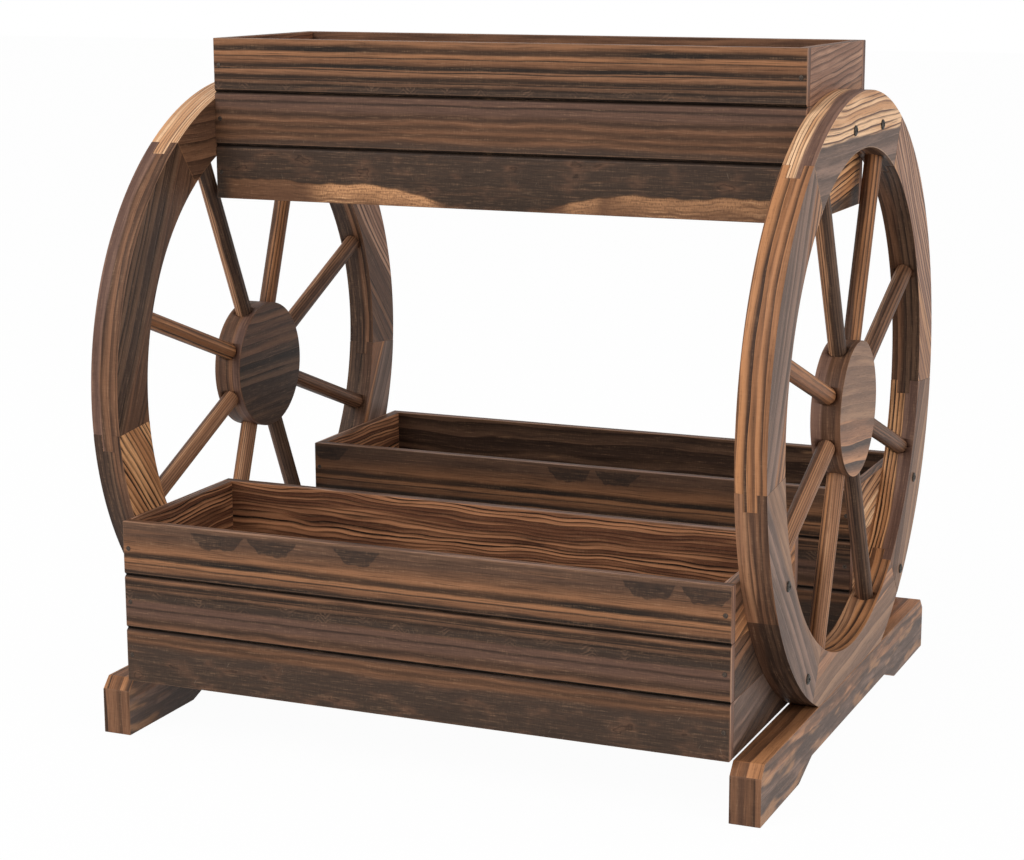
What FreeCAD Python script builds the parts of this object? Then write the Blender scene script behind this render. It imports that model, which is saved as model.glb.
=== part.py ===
import FreeCAD, Part
import math
import os

# Flower cart stand: three open planter boxes carried by two fixed wagon wheels,
# each wheel cut flat below and standing on a foot.
# Millimetres. X runs along the boxes, Y from front to rear, Z up.
# The origin is on the ground, in the middle of the stand.

Vector = FreeCAD.Vector

# Planter boxes
box_length = 500.0
box_width = 163.5
board_height = 43.3
board_thickness = 9.0
boards_per_wall = 3
seam_chamfer = 2.0          # on the outer long edges, where one board meets the next
floor_thickness = 6.0
floor_height = 8.0          # from the box's lower edge to the underside of its floor
floor_groove_depth = 3.0    # in the lowest front and rear boards
floor_side_clearance = 0.3
drain_hole_diameter = 12.0
drain_holes_per_floor = 4

# Feet
foot_length = 481.5
foot_height = 45.2
foot_pad_length = 97.0
foot_arch_height = 11.5
foot_arch_slope = 34.0      # length of the slope at each end of the arch
foot_chamfer_length = 8.5
foot_chamfer_drop = 9.2

# Wheels
wheel_thickness = 24.0
rim_outer_radius = 241.2
rim_width = 44.0
wheel_flat_depth = 18.9     # how much of the circle the flat below takes away
hub_radius = 53.5
hub_drop = 6.3              # the hub's centre lies this far below the rim's centre
spoke_diameter = 14.0
spokes_per_wheel = 8
first_spoke_angle = 25.0
spoke_socket_depth = 13.0
spoke_end_clearance = 0.5
spoke_side_clearance = 0.15
tongue_length = 13.5
tongue_thickness = 10.5
tongue_shift = 0.6          # towards the boxes, from the middle of the wheel's thickness

# Rim joints: the segment that begins there, the angle of the shoulder, counted from the rear
# towards the top, and the way in which the tongue points, 1 for growing angles
rim_joints = [
    ("top", 62.7, -1),
    ("upper_front", 125.8, 1),
    ("lower_front", 185.8, 1),
    ("bottom", 242.5, -1),
    ("lower_rear", 306.9, 1),
    ("upper_rear", 354.7, -1),
]

# How the boxes sit on the wheels
lower_box_lift = 0.9        # from the top of the foot to the underside of the lower boxes
upper_box_rise = 34.5       # of the upper box's top edge above the wheel's top

# Screws that hold the wheels to the boxes. In the upper box: Y, and distance outside the rim's
# middle line. In a lower box: depth below its top edge or height above its lower edge, and the
# distance outside that line
upper_box_screws = [(-32.5, -4.0), (48.1, -2.0)]
front_box_high_screw = (11.9, -8.0)
front_box_low_screw = (31.4, 9.5)
rear_box_high_screw = (9.9, -4.0)
rear_box_low_screw = (47.8, 11.5)
wheel_screw_diameter = 4.0
wheel_screw_head_diameter = 8.2
wheel_screw_head_height = 1.9
wheel_screw_edge_height = 0.5   # of the head's straight side, below its dome
wheel_screw_reach = 7.0     # into the end board

# Screws that hold the feet to the wheels, driven from below
foot_screw_spacing = 110.0
foot_screw_diameter = 5.0
foot_screw_head_diameter = 9.5
foot_screw_reach = 22.0     # into the wheel's bottom segment
foot_screw_pocket_depth = 5.0

# Nails that hold the long boards to the end boards
nail_diameter = 1.8
nail_head_diameter = 3.6
nail_head_height = 0.8
nail_length = 26.0

fastener_clearance = 0.15

# Cross recess of a wheel screw
recess_span = 4.1
recess_width = 1.1
recess_depth = 1.0

# Derived places
half_length = box_length / 2
half_foot = foot_length / 2
box_height = board_height * boards_per_wall
rim_inner_radius = rim_outer_radius - rim_width
rim_middle_radius = rim_outer_radius - rim_width / 2
rim_centre_height = foot_height - wheel_flat_depth + rim_outer_radius
hub_height = rim_centre_height - hub_drop
lower_box_bottom = foot_height + lower_box_lift
upper_box_bottom = rim_centre_height + rim_outer_radius + upper_box_rise - box_height
lower_box_top = lower_box_bottom + box_height
lower_box_offset = half_foot - box_width / 2
tongue_angle = math.degrees(tongue_length / rim_outer_radius)

planters = {
    "upper_box": (0.0, upper_box_bottom),
    "front_box": (-lower_box_offset, lower_box_bottom),
    "rear_box": (lower_box_offset, lower_box_bottom),
}
sides = {"left": -1, "right": 1}

solids = {}


def block(x_range, y_range, z_range):
    """A box between two limits along each axis, given in any order."""
    low = [min(pair) for pair in (x_range, y_range, z_range)]
    size = [abs(pair[1] - pair[0]) for pair in (x_range, y_range, z_range)]
    return Part.makeBox(size[0], size[1], size[2], Vector(*low))


def prism(outline, x_start, x_end):
    """An outline of (y, z) points drawn out along X."""
    points = [Vector(x_start, y, z) for y, z in outline]
    face = Part.Face(Part.makePolygon(points + points[:1]))
    return face.extrude(Vector(x_end - x_start, 0, 0))


def rod(radius, length, start, direction):
    return Part.makeCylinder(radius, length, start, direction)


def wheel_x(side, distance):
    """X of a plane at a distance outside the face of the boxes' ends."""
    return side * (half_length + distance)


def on_circle(radius, angle, centre_height):
    """Y and Z of a point of a wheel's circle."""
    turn = math.radians(angle)
    return radius * math.cos(turn), centre_height + radius * math.sin(turn)


def rim_sector(start_angle, end_angle, x_start, x_end):
    """A piece of the rim between two radial faces."""
    middle = (start_angle + end_angle) / 2

    def corner(radius, angle):
        y, z = on_circle(radius, angle, rim_centre_height)
        return Vector(x_start, y, z)

    inner = [corner(rim_inner_radius, angle) for angle in (start_angle, middle, end_angle)]
    outer = [corner(rim_outer_radius, angle) for angle in (start_angle, middle, end_angle)]
    edges = [
        Part.Arc(*outer).toShape(),
        Part.makeLine(outer[2], inner[2]),
        Part.Arc(*inner[::-1]).toShape(),
        Part.makeLine(inner[0], outer[0]),
    ]
    face = Part.Face(Part.Wire(edges))
    return face.extrude(Vector(x_end - x_start, 0, 0))


def tongue(side, angle, way):
    """The tongue that crosses a rim joint, in the middle of the thickness."""
    middle = wheel_thickness / 2 - tongue_shift
    near = wheel_x(side, middle - tongue_thickness / 2)
    far = wheel_x(side, middle + tongue_thickness / 2)
    ends = sorted((angle, angle + way * tongue_angle))
    return rim_sector(ends[0], ends[1], near, far)


def spoke_angles():
    return [first_spoke_angle + 360.0 * i / spokes_per_wheel for i in range(spokes_per_wheel)]


def spoke_reach(angle):
    """Distance along a spoke from the hub's centre to the rim's inner face."""
    turn = math.radians(angle)
    across = hub_drop * math.cos(turn)
    return hub_drop * math.sin(turn) + math.sqrt(rim_inner_radius ** 2 - across ** 2)


def spoke_rod(side, angle, radius, start, end):
    """A round bar along a spoke's line, from start to end as distances from the hub's centre."""
    y, z = on_circle(start, angle, hub_height)
    turn = math.radians(angle)
    direction = Vector(0, math.cos(turn), math.sin(turn))
    return rod(radius, end - start, Vector(wheel_x(side, wheel_thickness / 2), y, z), direction)


def spoke_sockets(side):
    """The holes that the spokes' ends sit in, in the hub and in the rim."""
    radius = spoke_diameter / 2 + spoke_side_clearance
    sockets = []
    for angle in spoke_angles():
        reach = spoke_reach(angle)
        sockets.append(
            spoke_rod(side, angle, radius, hub_radius - spoke_socket_depth, hub_radius + spoke_diameter))
        sockets.append(
            spoke_rod(side, angle, radius, reach - spoke_diameter, reach + spoke_socket_depth))
    return sockets


def turned(outline):
    """A solid turned about the Z axis from an outline of (radius, z) points."""
    points = [Vector(radius, 0, z) for radius, z in outline]
    face = Part.Face(Part.makePolygon(points + points[:1]))
    return face.revolve(Vector(0, 0, 0), Vector(0, 0, 1), 360)


def placed(shape, start, direction):
    """A copy of a shape made along +Z at the origin, moved to start and pointed along direction."""
    copy = shape.copy()
    copy.Placement = FreeCAD.Placement(start, FreeCAD.Rotation(Vector(0, 0, 1), direction))
    return copy


def pan_screw(length):
    """A round-headed screw with a cross recess, pointing along +Z, with z = 0 under its head."""
    radius = wheel_screw_diameter / 2
    head_radius = wheel_screw_head_diameter / 2
    top = -wheel_screw_head_height
    rim = -wheel_screw_edge_height
    dome_height = rim - top
    dome_radius = (head_radius ** 2 + dome_height ** 2) / (2 * dome_height)
    halfway = top + dome_radius - math.sqrt(dome_radius ** 2 - head_radius ** 2 / 4)
    corners = [(0, top), (0, length), (radius, length - wheel_screw_diameter), (radius, 0),
               (head_radius, 0), (head_radius, rim)]
    points = [Vector(x, 0, z) for x, z in corners]
    edges = [Part.makeLine(start, end) for start, end in zip(points, points[1:])]
    edges.append(Part.Arc(points[-1], Vector(head_radius / 2, 0, halfway), points[0]).toShape())
    screw = Part.Face(Part.Wire(edges)).revolve(Vector(0, 0, 0), Vector(0, 0, 1), 360)
    arm = (-recess_span / 2, recess_span / 2)
    slot = (-recess_width / 2, recess_width / 2)
    depth = (top * 2, top + recess_depth)
    return screw.cut([block(arm, slot, depth), block(slot, arm, depth)])


def wheel_screw_places():
    """Y and Z of the screws in one wheel."""
    places = []
    for y, offset in upper_box_screws:
        radius = rim_middle_radius + offset
        places.append((y, rim_centre_height + math.sqrt(radius ** 2 - y ** 2)))
    lower_screws = [
        (-1, lower_box_top - front_box_high_screw[0], front_box_high_screw[1]),
        (-1, lower_box_bottom + front_box_low_screw[0], front_box_low_screw[1]),
        (1, lower_box_top - rear_box_high_screw[0], rear_box_high_screw[1]),
        (1, lower_box_bottom + rear_box_low_screw[0], rear_box_low_screw[1]),
    ]
    for way, z, offset in lower_screws:
        radius = rim_middle_radius + offset
        places.append((way * math.sqrt(radius ** 2 - (z - rim_centre_height) ** 2), z))
    return places


def wheel_screw_tools(side):
    """Each wheel screw of one wheel, and the hole that it needs."""
    direction = Vector(-side, 0, 0)
    length = wheel_thickness + wheel_screw_reach
    model = pan_screw(length)
    hole = rod(wheel_screw_diameter / 2 + fastener_clearance, length + fastener_clearance,
               Vector(0, 0, 0), Vector(0, 0, 1))
    starts = [Vector(wheel_x(side, wheel_thickness), y, z) for y, z in wheel_screw_places()]
    screws = [placed(model, start, direction) for start in starts]
    holes = [placed(hole, start, direction) for start in starts]
    return screws, holes


def foot_screw(grow):
    """A countersunk screw pointing up, with z = 0 at its head; grow widens it to make its hole."""
    radius = foot_screw_diameter / 2 + grow
    head_radius = foot_screw_head_diameter / 2 + grow
    head_height = head_radius - radius
    length = foot_height + foot_screw_reach + grow - foot_arch_height - foot_screw_pocket_depth
    return turned([(0, 0), (head_radius, 0), (radius, head_height), (radius, length), (0, length)])


def foot_screw_tools(side):
    """The screws of one foot, and the holes and pockets that they need."""
    x = wheel_x(side, wheel_thickness / 2)
    up = Vector(0, 0, 1)
    pocket_radius = foot_screw_head_diameter / 2 + fastener_clearance
    pocket_top = foot_arch_height + foot_screw_pocket_depth
    screws = []
    holes = []
    for y in (-foot_screw_spacing / 2, foot_screw_spacing / 2):
        screws.append(placed(foot_screw(0.0), Vector(x, y, pocket_top), up))
        holes.append(placed(foot_screw(fastener_clearance), Vector(x, y, pocket_top), up))
        holes.append(rod(pocket_radius, pocket_top, Vector(x, y, 0), up))
    return screws, holes


def nail(grow):
    """A nail pointing along +Z with its head let in flush; grow widens it to make its hole."""
    radius = nail_diameter / 2 + grow
    head_radius = nail_head_diameter / 2 + grow
    head_height = nail_head_height + grow
    length = nail_length + grow
    return turned([(0, 0), (head_radius, 0), (head_radius, head_height), (radius, head_height),
                   (radius, length), (0, length)])


def nail_places(centre_y, bottom):
    """Where the nails of one box enter its long boards, and the way they point."""
    places = []
    for wall in (-1, 1):
        for end in (-1, 1):
            for row in range(boards_per_wall):
                x = end * (half_length - board_thickness / 2)
                y = centre_y + wall * box_width / 2
                z = bottom + board_height * (row + 0.5)
                places.append((Vector(x, y, z), Vector(0, -wall, 0)))
    return places


def cut_all(shape, tools):
    """Take away the tools that reach the shape."""
    near = [tool for tool in tools if shape.BoundBox.intersect(tool.BoundBox)]
    return shape.cut(near) if near else shape


def long_board(centre_y, bottom, wall, row):
    """One board of a front or rear wall, chamfered outside where it meets its neighbours."""
    outer = centre_y + wall * box_width / 2
    inner = outer - wall * board_thickness
    low = bottom + board_height * row
    high = low + board_height
    low_chamfer = seam_chamfer if row > 0 else 0.0
    high_chamfer = seam_chamfer if row < boards_per_wall - 1 else 0.0
    outline = [(inner, low)]
    if low_chamfer:
        outline.append((outer - wall * low_chamfer, low))
    outline.append((outer, low + low_chamfer))
    outline.append((outer, high - high_chamfer))
    if high_chamfer:
        outline.append((outer - wall * high_chamfer, high))
    outline.append((inner, high))
    return prism(outline, -half_length, half_length)


def floor_panel(centre_y, bottom, grow):
    """A box's floor, whose long edges run in grooves; grow widens it to make the grooves."""
    half_width = box_width / 2 - board_thickness + floor_groove_depth - floor_side_clearance + grow
    end = half_length - board_thickness - floor_side_clearance + grow
    low = bottom + floor_height
    return block((-end, end), (centre_y - half_width, centre_y + half_width),
                 (low, low + floor_thickness))


def add_planter(name, centre_y, bottom, wheel_holes, nails):
    """The walls, ends and floor of one box."""
    nail_holes = []
    for start, direction in nail_places(centre_y, bottom):
        nails.append(placed(nail(0.0), start, direction))
        nail_holes.append(placed(nail(fastener_clearance), start, direction))

    groove = floor_panel(centre_y, bottom, floor_side_clearance)
    for wall_name, wall in (("front", -1), ("rear", 1)):
        for row in range(boards_per_wall):
            board = cut_all(long_board(centre_y, bottom, wall, row), nail_holes + wheel_holes)
            if row == 0:
                board = board.cut(groove)
            solids[f"{name}_{wall_name}_board_{row + 1}"] = board

    inner_half_width = box_width / 2 - board_thickness
    for side_name, side in sides.items():
        for row in range(boards_per_wall):
            low = bottom + board_height * row
            board = block(
                (side * (half_length - board_thickness), side * half_length),
                (centre_y - inner_half_width, centre_y + inner_half_width),
                (low, low + board_height),
            )
            solids[f"{name}_{side_name}_end_{row + 1}"] = cut_all(board, nail_holes + wheel_holes)

    panel = floor_panel(centre_y, bottom, 0.0)
    drain_spacing = (box_length - 2 * board_thickness) / drain_holes_per_floor
    drains = []
    for i in range(drain_holes_per_floor):
        x = (i - (drain_holes_per_floor - 1) / 2) * drain_spacing
        drains.append(rod(drain_hole_diameter / 2, box_height,
                          Vector(x, centre_y, bottom), Vector(0, 0, 1)))
    solids[f"{name}_floor"] = panel.cut(drains)


def add_wheel(side_name, side, screw_holes, foot_holes):
    """The rim's segments, the hub and the spokes of one wheel."""
    inner_x = wheel_x(side, 0.0)
    outer_x = wheel_x(side, wheel_thickness)
    tongues = [tongue(side, angle, way) for _, angle, way in rim_joints]
    sockets = spoke_sockets(side)
    reach = rim_outer_radius * 2
    below_foot_top = block((inner_x, outer_x), (-reach, reach), (-reach, foot_height))

    for i, (name, start_angle, start_way) in enumerate(rim_joints):
        j = (i + 1) % len(rim_joints)
        _, end_angle, end_way = rim_joints[j]
        if end_angle < start_angle:
            end_angle += 360.0
        segment = rim_sector(start_angle, end_angle, inner_x, outer_x)
        for own_tongue, inward in ((tongues[i], start_way > 0), (tongues[j], end_way < 0)):
            segment = segment.cut(own_tongue) if inward else segment.fuse(own_tongue)
        segment = segment.removeSplitter()
        if segment.BoundBox.ZMin < foot_height:
            segment = segment.cut(below_foot_top)
        segment = cut_all(segment, sockets + screw_holes + foot_holes)
        solids[f"{side_name}_wheel_rim_{name}"] = segment

    hub_start = Vector(inner_x, 0, hub_height)
    hub = rod(hub_radius, wheel_thickness, hub_start, Vector(side, 0, 0))
    solids[f"{side_name}_wheel_hub"] = hub.cut(sockets)

    spokes = []
    for angle in spoke_angles():
        start = hub_radius - spoke_socket_depth + spoke_end_clearance
        end = spoke_reach(angle) + spoke_socket_depth - spoke_end_clearance
        spokes.append(spoke_rod(side, angle, spoke_diameter / 2, start, end))
    solids[f"{side_name}_wheel_spokes"] = Part.makeCompound(spokes)


def add_foot(side_name, side, foot_holes):
    """A foot: two pads with a shallow arch between them, and bevelled upper ends."""
    pad_end = half_foot - foot_pad_length
    half_outline = [
        (half_foot - foot_chamfer_length, foot_height),
        (half_foot, foot_height - foot_chamfer_drop),
        (half_foot, 0.0),
        (pad_end, 0.0),
        (pad_end - foot_arch_slope, foot_arch_height),
    ]
    outline = half_outline + [(-y, z) for y, z in reversed(half_outline)]
    foot = prism(outline, wheel_x(side, 0.0), wheel_x(side, wheel_thickness))
    solids[f"{side_name}_foot"] = cut_all(foot, foot_holes)


wheel_screws = []
foot_screws = []
nails = []
all_wheel_holes = []
for side_name, side in sides.items():
    screws, holes = wheel_screw_tools(side)
    own_foot_screws, foot_holes = foot_screw_tools(side)
    wheel_screws += screws
    foot_screws += own_foot_screws
    all_wheel_holes += holes
    add_wheel(side_name, side, holes, foot_holes)
    add_foot(side_name, side, foot_holes)

for name, (centre_y, bottom) in planters.items():
    add_planter(name, centre_y, bottom, all_wheel_holes, nails)

solids["wheel_screws"] = Part.makeCompound(wheel_screws)
solids["foot_screws"] = Part.makeCompound(foot_screws)
solids["board_nails"] = Part.makeCompound(nails)

os.makedirs("parts", exist_ok=True)
for name, shape in solids.items():
    shape.exportStep(f"parts/{name}.step")
    print(name, len(shape.Solids), shape.isValid(), round(shape.Volume))
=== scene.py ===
import math
import random

import bmesh
import bpy
from mathutils import Matrix, Vector


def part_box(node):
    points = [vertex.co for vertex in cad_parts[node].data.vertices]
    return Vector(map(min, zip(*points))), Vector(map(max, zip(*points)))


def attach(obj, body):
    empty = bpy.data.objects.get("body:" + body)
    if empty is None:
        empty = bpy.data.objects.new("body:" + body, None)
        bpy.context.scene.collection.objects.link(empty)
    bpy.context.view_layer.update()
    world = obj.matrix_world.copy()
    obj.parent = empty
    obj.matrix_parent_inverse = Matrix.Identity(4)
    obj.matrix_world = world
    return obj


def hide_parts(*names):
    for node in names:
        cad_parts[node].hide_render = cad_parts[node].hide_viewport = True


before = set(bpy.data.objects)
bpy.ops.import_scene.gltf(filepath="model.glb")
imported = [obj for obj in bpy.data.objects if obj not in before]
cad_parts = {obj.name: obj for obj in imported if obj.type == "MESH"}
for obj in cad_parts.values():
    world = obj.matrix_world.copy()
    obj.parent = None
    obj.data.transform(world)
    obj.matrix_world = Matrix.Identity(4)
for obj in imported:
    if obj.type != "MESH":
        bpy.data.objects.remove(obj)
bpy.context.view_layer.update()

mm = 0.001
sides = {"left": -1, "right": 1}
boxes = ("upper_box", "front_box", "rear_box")
rows = (1, 2, 3)
segments = ("top", "upper_front", "lower_front", "bottom", "lower_rear", "upper_rear")

# Camera: where the photograph was taken from, and the photograph's own frame in pixels
photo_width = 1024
photo_height = 860
camera_place = (0.73665, -1.75422, 0.61723)
camera_turn = math.radians(22.483)
camera_tilt = math.radians(-11.741)
focal_length_px = 2338.8
middle_px = (548.2, 430.7)
sensor_width = 36.0


def added(name, data):
    """A new object in the scene."""
    thing = bpy.data.objects.new(name, data)
    bpy.context.scene.collection.objects.link(thing)
    return thing


def set_up_camera():
    lens = bpy.data.cameras.new("photo_camera")
    lens.sensor_fit = "HORIZONTAL"
    lens.sensor_width = sensor_width
    lens.lens = focal_length_px * sensor_width / photo_width
    lens.shift_x = (photo_width / 2 - middle_px[0]) / photo_width
    lens.shift_y = (middle_px[1] - photo_height / 2) / photo_width
    camera = added("photo_camera", lens)
    camera.location = camera_place
    camera.rotation_euler = (math.pi / 2 + camera_tilt, 0, camera_turn)
    bpy.context.scene.camera = camera


set_up_camera()

# ---------------------------------------------------------------- sizes


def node_box(node):
    low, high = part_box(node)
    return {"low": low, "high": high, "middle": (low + high) / 2, "size": high - low}


wheel_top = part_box("right_wheel_rim_top")[1].z
rim_radius = 241.2 * mm
rim_width = 44.0 * mm
rim_centre = wheel_top - rim_radius
hub_box = node_box("right_wheel_hub")
hub_centre = hub_box["middle"].z
hub_radius = hub_box["size"].z / 2
wheel_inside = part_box("right_wheel_hub")[0].x
wheel_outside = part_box("right_wheel_hub")[1].x
wheel_middle = (wheel_inside + wheel_outside) / 2
spoke_count = 8
spoke_diameter = 14.0 * mm
first_spoke = math.radians(25.0)
spoke_sink = 9.0 * mm           # how far a spoke goes into the hub and, on average, into the rim
edge_round = 0.7 * mm           # worn edges of the boards, rims and feet
middle_angles = {               # of each rim segment, from the rear towards the top
    "top": 94.3,
    "upper_front": 155.8,
    "lower_front": 214.2,
    "bottom": 274.7,
    "lower_rear": 330.8,
    "upper_rear": 28.7,
}

# ---------------------------------------------------------------- shader maths


class Value:
    """A shader socket. Arithmetic on it adds Math nodes."""

    def __init__(self, paint, link):
        self.paint = paint
        self.link = link

    def maths(self, operation, *others):
        return self.paint.node("ShaderNodeMath", {"operation": operation}, [self, *others])

    def __add__(self, other):
        return self.maths("ADD", other)

    __radd__ = __add__

    def __sub__(self, other):
        return self.maths("SUBTRACT", other)

    def __rsub__(self, other):
        return self.paint.node("ShaderNodeMath", {"operation": "SUBTRACT"}, [other, self])

    def __mul__(self, other):
        return self.maths("MULTIPLY", other)

    __rmul__ = __mul__

    def __truediv__(self, other):
        return self.maths("DIVIDE", other)

    def __neg__(self):
        return self * -1.0

    def floor(self):
        return self.maths("FLOOR")

    def absolute(self):
        return self.maths("ABSOLUTE")

    def most(self, other):
        return self.maths("MAXIMUM", other)

    def rise(self, low, high):
        """0 at low and 1 at high, smoothly; low may be above high."""
        values = {"Value": self, "From Min": low, "From Max": high}
        return self.paint.node("ShaderNodeMapRange", {"interpolation_type": "SMOOTHSTEP"}, values)

    def within(self, low, high, soft):
        """1 between low and high, falling to 0 over the distance soft at each side."""
        return self.rise(low - soft, low + soft) * self.rise(high + soft, high - soft)


class Paint:
    """The nodes of a new material, or of the world, built with Python expressions."""

    def __init__(self, owner):
        self.owner = owner
        owner.use_nodes = True
        self.tree = owner.node_tree
        self.tree.nodes.clear()

    def node(self, kind, settings=None, values=None, output=0):
        """Adds a node with its settings, then its values or links, and gives one of its outputs."""
        made = self.tree.nodes.new(kind)
        for key, value in (settings or {}).items():
            if key == "stops":
                self.set_stops(made.color_ramp, value)
            else:
                setattr(made, key, value)
        pairs = values.items() if isinstance(values, dict) else enumerate(values or [])
        for key, value in pairs:
            if isinstance(value, Value):
                self.tree.links.new(value.link, made.inputs[key])
            else:
                made.inputs[key].default_value = value
        return Value(self, made.outputs[output]) if made.outputs else None

    def set_stops(self, ramp, stops):
        while len(ramp.elements) < len(stops):
            ramp.elements.new(1.0)
        for element, (place, colour) in zip(ramp.elements, stops):
            element.position = place
            element.color = colour

    def spot(self, x=0.0, y=0.0, z=0.0):
        return self.node("ShaderNodeCombineXYZ", None, [x, y, z])

    def noise(self, x, y, z, detail=1.0, roughness=0.5):
        """Smooth noise around 0, from about -0.5 to 0.5. Each coordinate comes divided by the size of
        the features along it, in metres or, for a depth in the long boards' pattern, in millimetres."""
        values = {"Vector": self.spot(x, y, z), "Scale": 1.0, "Detail": detail, "Roughness": roughness}
        return self.node("ShaderNodeTexNoise", {"noise_dimensions": "3D"}, values) - 0.5

    def lot(self, x, y, salt):
        """A random number from 0 to 1 for each whole x and y."""
        values = {"Vector": self.spot(x, y, salt)}
        return self.node("ShaderNodeTexWhiteNoise", {"noise_dimensions": "3D"}, values)

    def mix(self, factor, first, second, blend="MIX"):
        settings = {"data_type": "RGBA", "blend_type": blend, "clamp_factor": True}
        return self.node("ShaderNodeMix", settings, {0: factor, 6: first, 7: second}, output=2)

    def grain(self):
        """Along the grain, across it and the piece's own number, from the attribute on its mesh."""
        place = self.node("ShaderNodeAttribute", {"attribute_name": "grain"}, None, output=1)
        parts = self.tree.nodes.new("ShaderNodeSeparateXYZ")
        self.tree.links.new(place.link, parts.inputs[0])
        return [Value(self, out) for out in parts.outputs]

    def wear(self):
        """1 on a worn edge and below 0 where shade is painted, from the attribute on the mesh."""
        return self.node("ShaderNodeAttribute", {"attribute_name": "wear"}, None, output=2)

    def ray(self, kind):
        """1 for light rays of one kind and 0 for the others."""
        return self.node("ShaderNodeLightPath", None, None, output=kind)

    def finish(self, colour, roughness, height, depth, metallic=0.0, specular=0.5):
        bump = self.node("ShaderNodeBump", None, {"Strength": 1.0, "Distance": depth, "Height": height})
        values = {"Base Color": colour, "Roughness": roughness, "Normal": bump, "Metallic": metallic}
        shader = self.node("ShaderNodeBsdfPrincipled", None, values)
        shader.link.node.inputs["Specular IOR Level"].default_value = specular
        self.node("ShaderNodeOutputMaterial", None, [shader])
        return self.owner


def tone(red, green, blue):
    """A colour given as it looks on a screen, 0 to 255, for a socket."""
    parts = []
    for part in (red, green, blue):
        share = part / 255
        parts.append(share / 12.92 if share <= 0.04045 else ((share + 0.055) / 1.055) ** 2.4)
    return (*parts, 1.0)


charcoal = tone(34, 25, 19)
black_brown = tone(24, 15, 10)
pale_scratch = tone(168, 146, 124)

# ---------------------------------------------------------------- wood


# Each family of sawn wood: its pale early wood, its middle tone and its dark growth lines,
# then the distance between these lines in millimetres, their strength and their breadth
families = {
    "zebra": (tone(238, 194, 152), tone(200, 148, 106), tone(84, 55, 43), 5.0, 1.0, 0.3),
    "tiger": (tone(222, 164, 114), tone(180, 124, 82), tone(46, 26, 17), 5.0, 1.25, 0.38),
    "tan": (tone(186, 138, 102), tone(146, 103, 75), tone(68, 45, 34), 6.0, 1.0, 0.35),
    "orange": (tone(182, 126, 84), tone(138, 92, 61), tone(62, 41, 30), 12.0, 1.0, 0.5),
    "amber": (tone(172, 119, 81), tone(134, 91, 62), tone(74, 49, 35), 13.0, 0.95, 0.45),
    "brown": (tone(130, 91, 66), tone(92, 64, 48), tone(44, 29, 21), 9.0, 0.9, 0.5),
    "dark": (tone(104, 77, 59), tone(66, 48, 38), tone(30, 20, 15), 9.0, 0.8, 0.5),
    "grey": (tone(140, 112, 97), tone(98, 78, 68), tone(64, 50, 43), 10.0, 0.7, 0.6),
    "mauve": (tone(128, 96, 81), tone(98, 71, 60), tone(70, 49, 41), 9.0, 0.4, 0.5),
    "pink": (tone(182, 140, 114), tone(138, 100, 80), tone(84, 58, 45), 5.0, 1.2, 0.4),
    "clay": (tone(160, 124, 98), tone(128, 97, 77), tone(86, 64, 52), 11.0, 0.6, 0.5),
    "rose": (tone(188, 136, 100), tone(140, 101, 77), tone(74, 58, 50), 12.0, 1.0, 0.6),
    # the inside family is lighter than the wood's own tone: painted light against the shade inside the
    # boxes; its stripes are the wood's
    "inside": (tone(192, 133, 94), tone(108, 68, 48), tone(26, 15, 10), 3.2, 1.0, 0.45),
    # the seam family is no wood tone: it is near black painted shadow for the grooves between the long
    # boards
    "seam": (tone(36, 26, 20), tone(22, 15, 11), tone(14, 9, 7), 6.0, 0.3, 0.3),
}


def striped(paint, along, across, seed, family, scale, sway):
    """Growth lines of sawn softwood: each ring darkens slowly and ends sharply, unlike the next one.
    Returns the colour and the strength of the dark lines."""
    light, middle, dark, ring, strength, breadth = families[family]
    bend = paint.noise(along / 0.22, across / 0.07, seed) * 0.024 * sway
    wave = paint.noise(along / 0.05, across / 0.018, seed + 31.7) * 0.006 * sway
    level = across + bend + wave
    uneven = paint.noise(level / 0.016, seed * 1.7, 4.4) * 2.2
    count = level / (ring * scale * mm) + uneven + seed * 3.3
    row = count.floor()
    phase = count - row
    chance = paint.lot(row, seed.floor(), 1.5)
    second = paint.lot(row, seed.floor(), 7.5)
    change = paint.noise(along / 0.07, row * 2.7, seed, 1.0)
    start = 0.75 - breadth + (chance - 0.5) * 0.4 - change * 0.5
    line = phase.rise(start, 0.9) * phase.rise(1.0, 0.93) * (0.45 + second * 0.75) * strength
    line = line * (0.4 + change.rise(-0.3, 0.05) * 0.6)
    glow = second * 1.1 + paint.noise(along / 0.09, level / 0.006, seed + 2.0, 2.0) * 2.4 - 0.05
    colour = paint.mix(glow.rise(0.0, 1.0), middle, light)
    fine = paint.noise(along / 0.05, level / 0.0009, seed + 9.0, 2.0)
    colour = paint.mix(fine.rise(0.0, 0.28) * 0.6 * strength, colour, dark)
    colour = paint.mix(line, colour, dark)
    return colour, line


def surface(paint, along, across, seed, colour, lines, worn):
    """Brushed fibres, worn edges and a satin finish over a pattern of growth lines."""
    fibre = paint.noise(along / 0.010, across / 0.0005, seed + 5.0, 2.0)
    thread = paint.noise(along / 0.05, across / 0.0016, seed + 9.0, 2.0)
    weave = paint.noise(along / 0.0012, across / 0.006, seed, 1.0)
    shade = fibre * 0.5 + thread * 0.45 + weave * 0.18
    colour = paint.mix(shade.rise(0.0, 0.42), colour, charcoal)
    colour = paint.mix(shade.rise(0.0, -0.4) * 0.45, colour, tone(208, 162, 124))
    wear = paint.wear()
    colour = paint.mix(wear * 0.22, colour, worn)
    # below 0 the value is painted shade, which darkens the wood towards black brown
    colour = paint.mix(-wear, colour, black_brown)
    height = fibre * 0.4 + thread * 0.3 - lines * 0.4
    return paint.finish(colour, 0.5 + fibre * 0.15, height, 0.0003, specular=0.16)


made_woods = {}
border_softness = 1.2 * mm


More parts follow.
